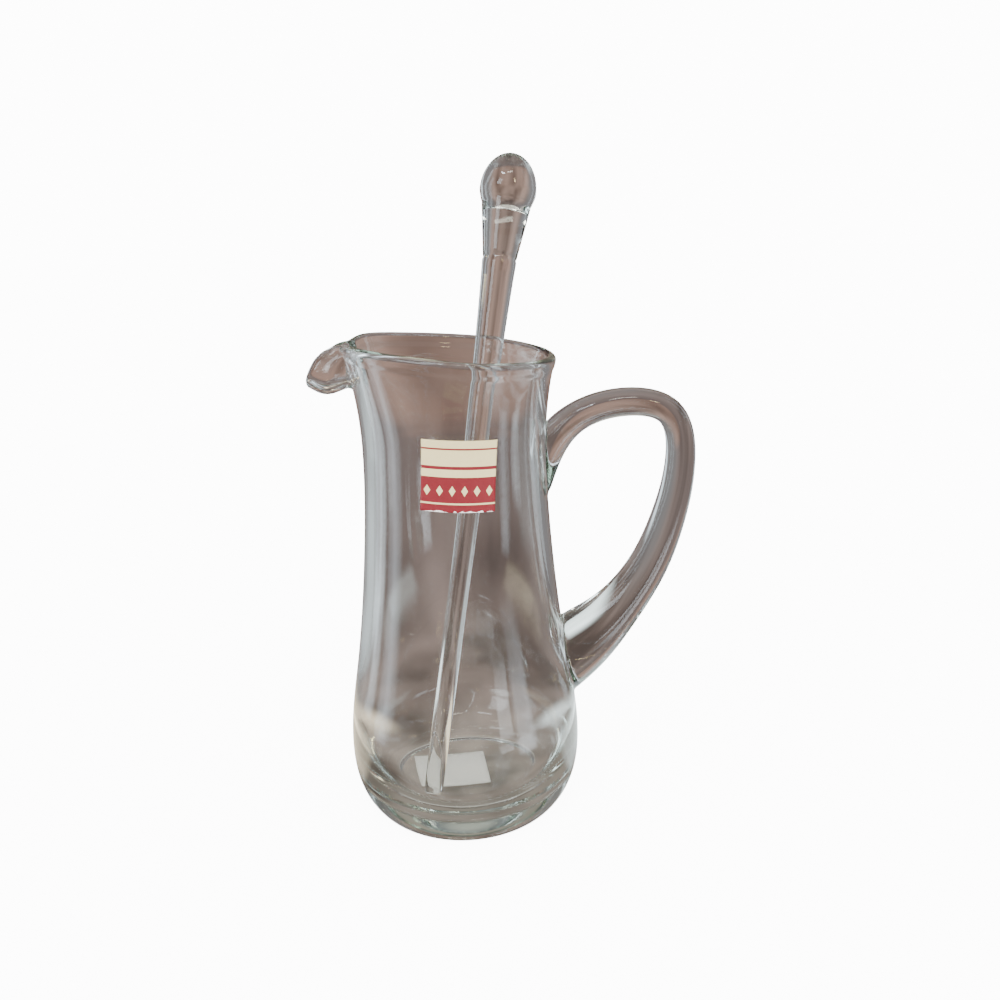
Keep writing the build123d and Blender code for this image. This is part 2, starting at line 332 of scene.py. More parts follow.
def new_piece(name, bm, body, slot, *nodes):
    """Object of a finished bmesh, smooth shaded, riding on a body and standing for CAD nodes."""
    mesh = bpy.data.meshes.new(name)
    bm.to_mesh(mesh)
    bm.free()
    mesh.polygons.foreach_set("use_smooth", [True] * len(mesh.polygons))
    piece = bpy.data.objects.new(name, mesh)
    bpy.context.scene.collection.objects.link(piece)
    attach(piece, body)
    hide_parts(*nodes)
    return piece


def spun(profile, columns):
    """Closed bmesh of a profile of radius and height, in millimetres, spun round the Z axis."""
    bm = bmesh.new()
    verts = [bm.verts.new((r * MM, 0, z * MM)) for r, z in profile]
    edges = [bm.edges.new(pair) for pair in zip(verts, verts[1:])]
    bmesh.ops.spin(bm, geom=verts + edges, cent=(0, 0, 0), axis=(0, 0, 1), angle=2 * pi, steps=columns,
                   use_merge=True)
    bmesh.ops.remove_doubles(bm, verts=bm.verts, dist=SAME_PLACE * MM)
    face_outward(bm)
    return bm


def face_outward(bm):
    """Turn all the faces of a closed bmesh outward."""
    bmesh.ops.recalc_face_normals(bm, faces=bm.faces)
    if bm.calc_volume(signed=True) < 0:
        bmesh.ops.reverse_faces(bm, faces=bm.faces)


def rows_and_columns(bm, profile, columns):
    """Row in the profile and column round the axis of every vertex of a spun bmesh."""
    place = np.array([v.co for v in bm.verts]) / MM
    flat = np.stack([np.hypot(place[:, 0], place[:, 1]), place[:, 2]], 1)
    rows = np.empty(len(flat), int)
    batch = 4000
    for start in range(0, len(flat), batch):
        part = flat[start:start + batch]
        rows[start:start + batch] = ((part[:, None] - profile[None]) ** 2).sum(2).argmin(1)
    turn = np.arctan2(place[:, 1], place[:, 0]) % (2 * pi)
    return rows, np.rint(turn / (2 * pi / columns)).astype(int) % columns


# Jug: plain lines of the wall
foot_heading = heading(FOOT_EDGE_HEADING)
corner_heading = heading(FLOOR_CORNER_HEADING)
inner_waist = (WAIST[0] - WAIST_WALL, WAIST[1])
neck_foot = (WAIST[0] - WAIST_WALL / 2, WAIST[1])
neck_rim = (RIM[0] - RIM_WALL / 2, RIM[1])
neck_top = (neck_rim[0] + NECK_OVERRUN * tan(radians(RIM_FLARE)), RIM[1] + NECK_OVERRUN)
outer_body = smooth_line([FOOT_EDGE, BULGE, SHOULDER, MIDDLE, WAIST], OUTER_ROWS, foot_heading, heading(90))
inner_body = smooth_line([FLOOR_CORNER, INNER_BULGE, INNER_SHOULDER, INNER_MIDDLE, inner_waist], INNER_ROWS,
                         corner_heading, heading(90))
neck_middle = smooth_line([neck_foot, neck_rim, neck_top], NECK_STEPS, heading(90), heading(90 - RIM_FLARE))
foot_round = smooth_line([FOOT_CONTACT, FOOT_EDGE], FOOT_ROWS, (1, 0), foot_heading)
floor_corner = smooth_line([(FLOOR_RADIUS, BASE_THICKNESS), FLOOR_CORNER], FLOOR_CORNER_ROWS, (1, 0),
                           corner_heading)
hollow_slope = smooth_line([(BASE_HOLLOW_RADIUS, BASE_HOLLOW_DEPTH), (BASE_RING_INSIDE, 0)],
                           HOLLOW_SLOPE_ROWS, (1, 0), (1, 0))


def neck_radius(height, angle):
    """Radius of the middle of the neck's wall, drawn in towards the rim on both sides of the mouth."""
    plain = np.interp(height, neck_middle[:, 1], neck_middle[:, 0])
    aside = (np.degrees(np.abs(angle)) - DRAW_IN_ANGLE) / DRAW_IN_SPREAD
    drawn = np.clip(1 - aside ** 2, 0, None) ** 2
    return plain - DRAW_IN * drawn * ease(height, WAIST[1] + DRAW_IN_START, RIM[1])


def rim_middle_height(angle):
    """Height at which the middle of the neck's wall ends, below the rounded rim."""
    turn = np.degrees(np.abs(angle))
    plain = RIM[1] + RIM[0] * np.cos(angle) * tan(radians(RIM_SLANT)) - RIM_WALL / 2
    rise = RIM_RISE * np.exp(-((turn - RIM_RISE_ANGLE) / RIM_RISE_SPREAD) ** 2)
    return plain + rise - RIM_DIP * (1 - ease(turn, *RIM_DIP_ANGLES))


def column_angles():
    """Angle of each column from the lip's middle on the plain wall, close together at the lip."""
    turn = np.arange(JUG_COLUMNS) * 2 * pi / JUG_COLUMNS - pi
    lip_turn = pi * LIP_COLUMNS / JUG_COLUMNS
    share = turn / lip_turn
    edge = asin(LIP_HALF_WIDTH / RIM[0])
    near = edge * (LIP_SPACING * share + (1 - LIP_SPACING) * share ** 3)
    far = np.sign(share) * (edge + (pi - edge) * (np.abs(turn) - lip_turn) / (pi - lip_turn))
    return np.clip(share, -1, 1), np.where(np.abs(share) <= 1, near, far)


def on_wall(angle, height):
    """Points of the middle of the neck's wall, the lip's middle being at -X."""
    r = neck_radius(height, angle)
    return np.stack([-r * np.cos(angle), r * np.sin(angle), height], -1)


def neck_surface():
    """Middle of the glass from the waist to the rim and lip, as rows round the jug, and half its wall."""
    share, body_angle = column_angles()
    across = share * pi / 2
    crease_size = RIM_CREASE_SIZE + (LIP_CREASE_SIZE - RIM_CREASE_SIZE) * np.cos(across) ** 2
    edge_angle = asin(LIP_HALF_WIDTH / RIM[0])
    root_height = rim_middle_height(edge_angle) - 2 * RIM_CREASE_SIZE
    lip = np.abs(share) < 1
    crease_height = np.where(lip, root_height - (root_height - LIP_CREASE_HEIGHT) * np.cos(across),
                             rim_middle_height(body_angle) - 2 * RIM_CREASE_SIZE)
    half = neck_radius(root_height, edge_angle) * sin(edge_angle)
    gathered = np.arcsin(half * np.sin(across) / neck_radius(crease_height, body_angle))
    crease_angle = np.where(lip, gathered, body_angle)
    root = on_wall(np.array(edge_angle), rim_middle_height(np.array(edge_angle)))
    edge_places = [(-reach, width, height) for _, reach, width, height in LIP_EDGE]
    edge_places = np.array(edge_places + [tuple(root)])
    mirrored = np.concatenate([edge_places[:0:-1] * (1, -1, 1), edge_places])
    edge_turns = np.array([turn for turn, *_ in LIP_EDGE] + [90])
    turns = np.concatenate([-edge_turns[:0:-1], edge_turns])
    fine = smooth_line(np.column_stack([mirrored, turns / DEGREES_PER_MM]), LIP_EDGE_STEPS)
    fine_turns = fine[:, 3] * DEGREES_PER_MM
    lip_end = np.stack([np.interp(np.degrees(across), fine_turns, fine[:, k]) for k in range(3)], -1)
    end = np.where(lip[:, None], lip_end, on_wall(body_angle, rim_middle_height(body_angle)))
    crease = on_wall(crease_angle, crease_height)
    low_height = crease_height - crease_size
    rows = []
    for t in np.linspace(0, 1, NECK_ROWS)[:-1]:
        turned = body_angle + (crease_angle - body_angle) * ease(t, LIP_GATHER, 1.0)
        rows.append(on_wall(turned, WAIST[1] + (low_height - WAIST[1]) * t))
    low = on_wall(crease_angle, low_height)
    out = (end - crease) / np.linalg.norm(end - crease, axis=1)[:, None]
    high = crease + out * crease_size[:, None]
    for t in np.linspace(0, 1, CREASE_ROWS)[:-1]:
        rows.append(low * (1 - t) ** 2 + crease * 2 * t * (1 - t) + high * t ** 2)
    swell = np.where(lip, LIP_BULGE * np.sin(2 * np.abs(across)) + LIP_DROOP * np.cos(across) ** 2, 0)
    swell = swell[:, None] * np.stack([0 * across, np.sin(across), -np.cos(across)], -1)
    for t in np.linspace(0, 1, LIP_ROWS):
        rows.append(high + (end - high) * t + swell * sin(pi * t ** LIP_SWELL_SKEW))
    thinning = np.where(lip, ease(np.cos(across), 0.0, LIP_THIN_SHARE), 0) * (RIM_WALL - LIP_WALL)
    row = np.arange(len(rows))
    wall = np.interp(row, [0, NECK_ROWS - 1], [WAIST_WALL, RIM_WALL])
    wall = wall[:, None] - thinning[None] * ease(row, *LIP_THIN_ROWS)[:, None]
    return np.array(rows), wall / 2


def surface_normals(grid):
    """Outward normals of rows of points round the jug."""
    up = np.gradient(grid, axis=0)
    around = np.roll(grid, -1, axis=1) - np.roll(grid, 1, axis=1)
    n = np.cross(up, around)
    return n / np.linalg.norm(n, axis=2)[:, :, None]


def jug_mesh():
    """Glass wall of the jug: floor, inside, rounded rim with its lip, outside, foot and base hollow."""
    neck, half = neck_surface()
    out = surface_normals(neck)
    forward = neck[-1] - neck[-2]
    forward /= np.linalg.norm(forward, axis=1)[:, None]
    inside = neck - out * half[:, :, None]
    outside = neck + out * half[:, :, None]
    below = np.linalg.norm(neck - neck[-1], axis=2)
    _, angles = column_angles()
    bead = RIM_BEAD * (1 - ease(below, RIM_BEAD_FULL * RIM_BEAD_HEIGHT, RIM_BEAD_HEIGHT))
    bead = bead * ease(np.degrees(np.abs(angles)), *RIM_DIP_ANGLES)
    outside = outside + out * bead[:, :, None]
    end = half[-1][:, None] + bead[-1][:, None] / 2
    middle = neck[-1] + out[-1] * bead[-1][:, None] / 2
    over_rim = np.linspace(0, pi, RIM_ROWS)[1:-1]
    rim = [middle + end * (-out[-1] * cos(a) + forward * sin(a)) for a in over_rim]
    floor = [(r, BASE_THICKNESS) for r in np.linspace(0, FLOOR_RADIUS, FLOOR_ROWS)[:-1]]
    bottom = [(r, 0.0) for r in np.linspace(FOOT_CONTACT[0], BASE_RING_INSIDE, BASE_RING_ROWS)]
    ceiling = [(r, BASE_HOLLOW_DEPTH) for r in np.linspace(BASE_HOLLOW_RADIUS, 0, CEILING_ROWS)[1:]]
    before = floor + list(floor_corner[:-1]) + list(inner_body[:-1])
    after = list(outer_body[::-1][1:]) + list(foot_round[::-1][1:])
    after += bottom[1:] + list(hollow_slope[::-1][1:]) + ceiling
    grid = np.concatenate([inside, np.array(rim), outside[::-1]])
    # The rows of the neck are spun as a flat ring, clear of the other rows, and then put in their places.
    spare = [(SPARE_RADIUS + k, WAIST[1]) for k in range(len(grid))]
    profile = np.array([tuple(p) for p in before + spare + after])
    bm = spun(profile, JUG_COLUMNS)
    rows, columns = rows_and_columns(bm, profile, JUG_COLUMNS)
    first = len(before)
    for vert, row, column in zip(bm.verts, rows, columns):
        column = (column + JUG_COLUMNS // 2) % JUG_COLUMNS
        if first <= row < first + len(grid):
            vert.co = Vector(grid[row - first, column]) * MM
        else:
            r, z = profile[row]
            vert.co = Vector((-r * cos(angles[column]), r * sin(angles[column]), z)) * MM
    face_outward(bm)
    return bm


def outer_radius(height):
    """Outer radius of the plain wall at a height."""
    if height > WAIST[1]:
        wall = np.interp(height, [WAIST[1], RIM[1]], [WAIST_WALL, RIM_WALL])
        return np.interp(height, neck_middle[:, 1], neck_middle[:, 0]) + wall / 2
    return np.interp(height, outer_body[:, 1], outer_body[:, 0])


def combined(first, second, operation):
    """bmesh of two closed bmeshes put together, or of the first with the second cut away."""
    forms = []
    for bm in (first, second):
        mesh = bpy.data.meshes.new("form")
        bm.to_mesh(mesh)
        bm.free()
        form = bpy.data.objects.new("form", mesh)
        bpy.context.scene.collection.objects.link(form)
        forms.append(form)
    joint = forms[0].modifiers.new("joint", "BOOLEAN")
    joint.operation = operation
    joint.solver = "EXACT"
    joint.object = forms[1]
    bm = bmesh.new()
    bm.from_object(forms[0], bpy.context.evaluated_depsgraph_get())
    for form in forms:
        mesh = form.data
        bpy.data.objects.remove(form)
        bpy.data.meshes.remove(mesh)
    return bm


def put_in_order(bm):
    """Sort the vertices of a bmesh by their places, so that a merge gives the same result in every run."""
    places = np.array([v.co for v in bm.verts])
    rank = np.empty(len(places))
    rank[np.lexsort(places.T)] = np.arange(len(places))
    bm.verts.index_update()
    bm.verts.sort(key=lambda vert: rank[vert.index])


def fused_jug_mesh():
    """Jug with its handle melted on: the handle ends inside the wall, and the seam is rounded."""
    low, high = CORE_HEIGHTS
    inner_wall = [(outer_radius(z) - HANDLE_SINK, z) for z in np.linspace(low, high, CORE_ROWS)]
    core = spun([(0, low)] + inner_wall + [(0, high)], CORE_COLUMNS)
    bm = combined(jug_mesh(), combined(handle_mesh(), core, "DIFFERENCE"), "UNION")
    put_in_order(bm)
    bmesh.ops.remove_doubles(bm, verts=bm.verts, dist=SEAM_MERGE * MM)
    # Stray faces along the seam go, and faces with many sides become triangles.
    fins = [f for f in bm.faces if any(len(e.link_faces) == 1 for e in f.edges)]
    bmesh.ops.delete(bm, geom=fins, context="FACES")
    bmesh.ops.poke(bm, faces=[f for f in bm.faces if len(f.verts) > 4])
    # How far each point near the handle stands proud of the plain wall
    low, high = SEAM_HEIGHTS
    proud = {v: hypot(v.co.x, v.co.y) / MM - outer_radius(v.co.z / MM) for v in bm.verts
             if v.co.x > SEAM_REACH * MM and low * MM < v.co.z < high * MM}
    seam = [v for v in proud if abs(proud[v]) < SEAM_ON_WALL
            and any(proud.get(e.other_vert(v), 0) > SEAM_OFF_WALL for e in v.link_edges)]
    tree = KDTree(len(seam))
    for k, v in enumerate(seam):
        tree.insert(v.co, k)
    tree.balance()
    near = [v for v in proud if proud[v] > -SEAM_OFF_WALL and tree.find(v.co)[2] < SEAM_ROUND * MM]
    for _ in range(SEAM_PASSES):
        bmesh.ops.smooth_vert(bm, verts=near, factor=SEAM_EASE,
                              use_axis_x=True, use_axis_y=True, use_axis_z=True)
    face_outward(bm)
    return bm


def handle_mesh():
    """Handle as oval rings along its middle line, closed at both ends."""
    line = smooth_line(HANDLE_STATIONS, HANDLE_RINGS)
    bm = bmesh.new()
    rings = []
    for k, (x, z, thickness, width) in enumerate(line):
        along = line[min(k + 1, len(line) - 1), :2] - line[max(k - 1, 0), :2]
        forward = Vector((along[0], 0, along[1])).normalized()
        side = Vector((0, 1, 0))
        turn = Matrix((side, forward.cross(side), forward)).transposed().to_4x4()
        size = Matrix.Diagonal((width / 2 * MM, thickness / 2 * MM, 1, 1))
        place = Matrix.Translation(Vector((x, 0, z)) * MM) @ turn @ size
        made = bmesh.ops.create_circle(bm, segments=HANDLE_SIDES, radius=1, matrix=place,
                                       cap_ends=k in (0, len(line) - 1))
        rings.append({e for v in made["verts"] for e in v.link_edges})
    for a, b in zip(rings, rings[1:]):
        bmesh.ops.bridge_loops(bm, edges=list(a | b))
    face_outward(bm)
    return bm


def stirrer_mesh():
    """Stirrer in one piece of glass: round tip, tapering rod and drop-shaped knob."""
    tip_turns = np.linspace(0, pi / 2, TIP_STEPS)
    crown_turns = np.linspace(0, pi / 2, CROWN_STEPS)
    tip_top = TIP_RISE + TIP_RADIUS
    tip = [(TIP_RADIUS * sin(a), tip_top - TIP_RADIUS * cos(a)) for a in tip_turns]
    rod = smooth_line([(TIP_RADIUS, tip_top), ROD_MIDDLE, ROD_TOP], ROD_STEPS,
                      (0, 1), heading(ROD_TOP_HEADING))
    cone = smooth_line(CONE, CONE_STEPS)
    flare = smooth_line([FLARE_FOOT, KNOB_WIDEST], FLARE_STEPS, heading(FLARE_HEADING), (0, 1))
    widest, height = KNOB_WIDEST
    crown = [(widest * cos(a), height + CROWN_HEIGHT * sin(a)) for a in crown_turns]
    profile = tip + list(rod[1:]) + NECK_RING + list(cone) + KNOB_RING + list(flare) + crown[1:]
    profile = [tuple(p) for p in profile]
    profile[-1] = (0.0, profile[-1][1])
    bm = spun(profile, STIRRER_COLUMNS)
    axis = Vector(STIRRER_DIRECTION).normalized()
    lean = axis.to_track_quat("Z", "Y").to_matrix().to_4x4()
    place = Matrix.Translation(Vector(STIRRER_TIP) * MM) @ lean
    bmesh.ops.transform(bm, verts=bm.verts, matrix=place)
    return bm


def sheet_of_paper(side, steps):
    """Unit square sheet, its back at height 0 and its front at 1, with its own coordinates in a UV map."""
    bm = bmesh.new()
    bmesh.ops.create_grid(bm, x_segments=steps, y_segments=steps, size=0.5)
    uv = bm.loops.layers.uv.new("paper")
    for face in bm.faces:
        for loop in face.loops:
            loop[uv].uv = (loop.vert.co.x + 0.5, loop.vert.co.y + 0.5)
    bmesh.ops.solidify(bm, geom=bm.faces, thickness=PAPER / side)
    for vert in bm.verts:
        vert.co.z = 1.0 if abs(vert.co.z) > 0.5 * PAPER / side else 0.0
    return bm


def front_label_mesh():
    """Label bent round the wall and up its curve, a little crooked."""
    bm = sheet_of_paper(LABEL_SIDE, LABEL_STEPS)
    tilt = radians(LABEL_TILT)
    for vert in bm.verts:
        u, v, w = vert.co
        across = LABEL_SIDE * (u * cos(tilt) + v * sin(tilt))
        height = LABEL_HEIGHT + LABEL_SIDE * (v * cos(tilt) - u * sin(tilt))
        turn = radians(LABEL_ANGLE) + asin(across / outer_radius(LABEL_HEIGHT))
        r = outer_radius(height) + GLUE_GAP + PAPER * w
        vert.co = Vector((r * cos(turn), r * sin(turn), height)) * MM
    face_outward(bm)
    return bm


def base_label_mesh():
    """Label flat against the ceiling of the base hollow."""
    bm = sheet_of_paper(BASE_LABEL_SIDE, BASE_LABEL_STEPS)
    low = BASE_HOLLOW_DEPTH - GLUE_GAP - PAPER
    for vert in bm.verts:
        u, v, w = vert.co
        vert.co = Vector((BASE_LABEL_SIDE * u, BASE_LABEL_SIDE * v, low + PAPER * w)) * MM
    turn = Matrix.Rotation(radians(BASE_LABEL_TURN), 3, "Z")
    bmesh.ops.rotate(bm, verts=bm.verts, cent=(0, 0, 0), matrix=turn)
    bmesh.ops.translate(bm, verts=bm.verts, vec=(BASE_LABEL_ASIDE * MM, 0, 0))
    face_outward(bm)
    return bm


def node(tree, kind, place, **settings):
    """New shader node; settings name its properties, or else its input sockets."""
    made = tree.nodes.new(kind)
    made.location = place
    for name, value in settings.items():
        if hasattr(made, name):
            setattr(made, name, value)
        else:
            made.inputs[name.replace("_", " ")].default_value = value
    return made


def link(tree, source, target):
    """Link from an output socket to an input socket."""
    tree.links.new(source, target)


def new_material(name):
    """Empty node material and its tree."""
    material = bpy.data.materials.new(name)
    material.use_nodes = True
    material.node_tree.nodes.clear()
    return material, material.node_tree


def clear_glass():
    """Clear soda glass: faint waviness and a faint green in its depth."""
    material, tree = new_material("clear_glass")
    coords = node(tree, "ShaderNodeTexCoord", (-900, 0))
    waves = node(tree, "ShaderNodeTexNoise", (-700, 0), Scale=WAVE_SCALE, Detail=1.0)
    bump = node(tree, "ShaderNodeBump", (-450, 0), Strength=WAVE_STRENGTH, Distance=WAVE_DEPTH * MM)
    shader = node(tree, "ShaderNodeBsdfPrincipled", (-200, 0), Roughness=0.0, IOR=GLASS_IOR)
    shader.inputs["Base Color"].default_value = (1, 1, 1, 1)
    shader.inputs["Transmission Weight"].default_value = 1.0
    depth = node(tree, "ShaderNodeVolumeAbsorption", (-200, -400), Density=GLASS_DENSITY)
    depth.inputs["Color"].default_value = (*GLASS_TINT, 1)
    out = node(tree, "ShaderNodeOutputMaterial", (100, 0))
    link(tree, coords.outputs["Object"], waves.inputs["Vector"])
    link(tree, waves.outputs["Fac"], bump.inputs["Height"])
    link(tree, bump.outputs["Normal"], shader.inputs["Normal"])
    link(tree, shader.outputs["BSDF"], out.inputs["Surface"])
    link(tree, depth.outputs["Volume"], out.inputs["Volume"])
    return material


def sum_node(tree, operation, first, second=None):
    """Math node on sockets or numbers; its output."""
    made = node(tree, "ShaderNodeMath", (-1000, -600), operation=operation)
    for k, value in enumerate((first, second)):
        if isinstance(value, (int, float)):
            made.inputs[k].default_value = value
        elif value is not None:
            link(tree, value, made.inputs[k])
    return made.outputs["Value"]


def blend(tree, factor, first, second):
    """Colour between two, each a socket or a plain colour; its output."""
    made = node(tree, "ShaderNodeMix", (-600, 0), data_type="RGBA")
    link(tree, factor, made.inputs["Factor"])
    for name, value in (("A", first), ("B", second)):
        if isinstance(value, tuple):
            made.inputs[name].default_value = (*value, 1)
        else:
            link(tree, value, made.inputs[name])
    return made.outputs["Result"]


def paper_fibres(tree, scale):
    """Fine fibres of paper, as a number round one half."""
    coords = node(tree, "ShaderNodeTexCoord", (-1400, 0))
    fibres = node(tree, "ShaderNodeTexNoise", (-1200, 0), Scale=scale, Detail=4.0)
    link(tree, coords.outputs["Object"], fibres.inputs["Vector"])
    return fibres.outputs["Fac"]


def finish_paper(tree, colour, fibres, roughness):
    """Paper shader of a colour, with its fibres in relief."""
    bump = node(tree, "ShaderNodeBump", (-400, -300), Strength=FIBRE_STRENGTH, Distance=FIBRE_DEPTH * MM)
    shader = node(tree, "ShaderNodeBsdfPrincipled", (-200, 0), Roughness=roughness)
    out = node(tree, "ShaderNodeOutputMaterial", (100, 0))
    link(tree, fibres, bump.inputs["Height"])
    link(tree, bump.outputs["Normal"], shader.inputs["Normal"])
    link(tree, colour, shader.inputs["Base Color"])
    link(tree, shader.outputs["BSDF"], out.inputs["Surface"])


def blank_paper():
    """Plain uncoated paper, a little yellowed."""
    material, tree = new_material("blank_paper")
    fibres = paper_fibres(tree, BLANK_FIBRES)
    finish_paper(tree, blend(tree, fibres, BLANK_LOW, BLANK_HIGH), fibres, BLANK_ROUGHNESS)
    return material


def distance(tree, value, middle):
    """How far a value is from the middle."""
    return sum_node(tree, "ABSOLUTE", sum_node(tree, "SUBTRACT", value, middle))


def label_paper():
    """Printed label: cream over red, thin rules, a row of lozenges, and a lower edge worn to bare paper."""
    material, tree = new_material("label_paper")
    sheet = node(tree, "ShaderNodeUVMap", (-1700, 200), uv_map="paper")
    parts = node(tree, "ShaderNodeSeparateXYZ", (-1500, 200))
    link(tree, sheet.outputs["UV"], parts.inputs["Vector"])
    across = parts.outputs["X"]
    up = parts.outputs["Y"]
    fibres = paper_fibres(tree, LABEL_FIBRES)
    cream = blend(tree, fibres, CREAM_LOW, CREAM_HIGH)
    red = blend(tree, fibres, RED_LOW, RED_HIGH)
    colour = blend(tree, sum_node(tree, "LESS_THAN", up, LABEL_SPLIT), cream, red)
    rules = [(*rule, red) for rule in RED_RULES] + [(*CREAM_RULE, cream)]
    for height, half, ink in rules:
        on_rule = sum_node(tree, "LESS_THAN", distance(tree, up, height), half)
        colour = blend(tree, on_rule, colour, ink)
    repeat = sum_node(tree, "FRACT", sum_node(tree, "MULTIPLY", across, LOZENGES))
    aside = sum_node(tree, "DIVIDE", distance(tree, repeat, 0.5), LOZENGES)
    above = sum_node(tree, "MULTIPLY", distance(tree, up, LOZENGE_HEIGHT), LOZENGE_SLIMNESS)
    lozenge = sum_node(tree, "LESS_THAN", sum_node(tree, "ADD", aside, above), LOZENGE_SIZE)
    colour = blend(tree, lozenge, colour, cream)
    coords = node(tree, "ShaderNodeTexCoord", (-1700, -300))
    scuffs = node(tree, "ShaderNodeTexNoise", (-1500, -300), Scale=SCUFF_SCALE, Detail=3.0)
    link(tree, coords.outputs["Object"], scuffs.inputs["Vector"])
    wear = sum_node(tree, "SUBTRACT", scuffs.outputs["Fac"], SCUFF_START)
    bare = sum_node(tree, "LESS_THAN", up, sum_node(tree, "MULTIPLY", wear, SCUFF_DEPTH))
    colour = blend(tree, bare, colour, BARE_PAPER)
    finish_paper(tree, colour, fibres, LABEL_ROUGHNESS)
    return material


def window_share(tree, angle, middle, half, edge, full_turn):
    """1 where an angle in degrees is inside a window, and 0 past its soft edge."""
    aside = sum_node(tree, "SUBTRACT", angle, middle)
    if full_turn:
        aside = sum_node(tree, "WRAP", aside, 180.0)
        aside.node.inputs[2].default_value = -180.0
    aside = sum_node(tree, "ABSOLUTE", aside)
    share = node(tree, "ShaderNodeMapRange", (-900, -500), interpolation_type="SMOOTHSTEP")
    share.inputs["From Min"].default_value = half
    share.inputs["From Max"].default_value = half - edge
    link(tree, aside, share.inputs["Value"])
    return share.outputs["Result"]


def room_colour(tree, direction):
    """Colour of the room in a direction."""
    parts = node(tree, "ShaderNodeSeparateXYZ", (-1700, -200))
    link(tree, direction, parts.inputs["Vector"])
    turn = sum_node(tree, "DEGREES", sum_node(tree, "ARCTAN2", parts.outputs["X"], parts.outputs["Y"]))
    rise = sum_node(tree, "DEGREES", sum_node(tree, "ARCSINE", parts.outputs["Z"]))
    height = sum_node(tree, "DIVIDE", sum_node(tree, "ADD", rise, 90.0), 180.0)
    ramp = node(tree, "ShaderNodeValToRGB", (-1100, -200))
    while len(ramp.color_ramp.elements) < len(ROOM):
        ramp.color_ramp.elements.new(1.0)
    for stop, (angle, tint) in zip(ramp.color_ramp.elements, ROOM):
        stop.position = (angle + 90) / 180
        stop.color = (*tint, 1)
    link(tree, height, ramp.inputs["Fac"])
    patches = node(tree, "ShaderNodeTexNoise", (-1300, 100), Scale=PATCH_SCALE, Detail=2.0)
    link(tree, direction, patches.inputs["Vector"])
    shade = node(tree, "ShaderNodeMapRange", (-1100, 100))
    for name, value in zip(("From Min", "From Max", "To Min", "To Max"), PATCH_NOISE + PATCH_SHADES):
        shade.inputs[name].default_value = value
    link(tree, patches.outputs["Fac"], shade.inputs["Value"])
    tone = node(tree, "ShaderNodeVectorMath", (-900, 0), operation="SCALE")
    link(tree, ramp.outputs["Color"], tone.inputs["Vector"])
    link(tree, shade.outputs["Result"], tone.inputs["Scale"])
    colour = tone.outputs["Vector"]
    for middle, high, half, tall, edge, tint, strength in WINDOWS:
        share = sum_node(tree, "MULTIPLY", window_share(tree, turn, middle, half, edge, True),
                         window_share(tree, rise, high, tall, edge, False))
        colour = blend(tree, share, colour, tuple(c * strength for c in tint))
    return colour


def seen_in_glass(tree):
    """1 for a ray that comes from the camera by way of glass only, and 0 for any other."""
    path = node(tree, "ShaderNodeLightPath", (-600, 400))
    matt = node(tree, "ShaderNodeMath", (-400, 500), operation="ADD", use_clamp=True)
    link(tree, path.outputs["Is Camera Ray"], matt.inputs[0])
    link(tree, path.outputs["Diffuse Depth"], matt.inputs[1])
    glassy = node(tree, "ShaderNodeMath", (-200, 500), operation="SUBTRACT")
    glassy.inputs[0].default_value = 1.0
    link(tree, matt.outputs["Value"], glassy.inputs[1])
    return glassy.outputs["Value"]


def pale_floor():
    """Pale floor, with the room in place of it where it is seen in the glass."""
    material, tree = new_material("pale_floor")
    plain = node(tree, "ShaderNodeBsdfDiffuse", (-500, 0), Roughness=1.0)
    plain.inputs["Color"].default_value = (FLOOR_SHADE, FLOOR_SHADE, FLOOR_SHADE, 1)
    path = node(tree, "ShaderNodeLightPath", (-700, 200))
    bright = node(tree, "ShaderNodeEmission", (-500, 150))
    extra = BACKDROP - DAYLIGHT * FLOOR_SHADE
    link(tree, sum_node(tree, "MULTIPLY", path.outputs["Is Camera Ray"], extra), bright.inputs["Strength"])
    lit = node(tree, "ShaderNodeAddShader", (-250, 50))
    place = node(tree, "ShaderNodeTexCoord", (-2300, -200))
    drop = node(tree, "ShaderNodeVectorMath", (-2100, -200), operation="SUBTRACT")
    drop.inputs[1].default_value = (0, 0, ROOM_MIDDLE_HEIGHT * MM)
    direction = node(tree, "ShaderNodeVectorMath", (-1900, -200), operation="NORMALIZE")
    room = node(tree, "ShaderNodeEmission", (-300, -200), Strength=1.0)
    mix = node(tree, "ShaderNodeMixShader", (0, 0))
    out = node(tree, "ShaderNodeOutputMaterial", (300, 0))
    link(tree, plain.outputs["BSDF"], lit.inputs[0])
    link(tree, bright.outputs["Emission"], lit.inputs[1])
    link(tree, place.outputs["Object"], drop.inputs[0])
    link(tree, drop.outputs["Vector"], direction.inputs[0])
    link(tree, room_colour(tree, direction.outputs["Vector"]), room.inputs["Color"])
    link(tree, seen_in_glass(tree), mix.inputs["Fac"])
    link(tree, lit.outputs["Shader"], mix.inputs[1])
    link(tree, room.outputs["Emission"], mix.inputs[2])
    link(tree, mix.outputs["Shader"], out.inputs["Surface"])
    return material


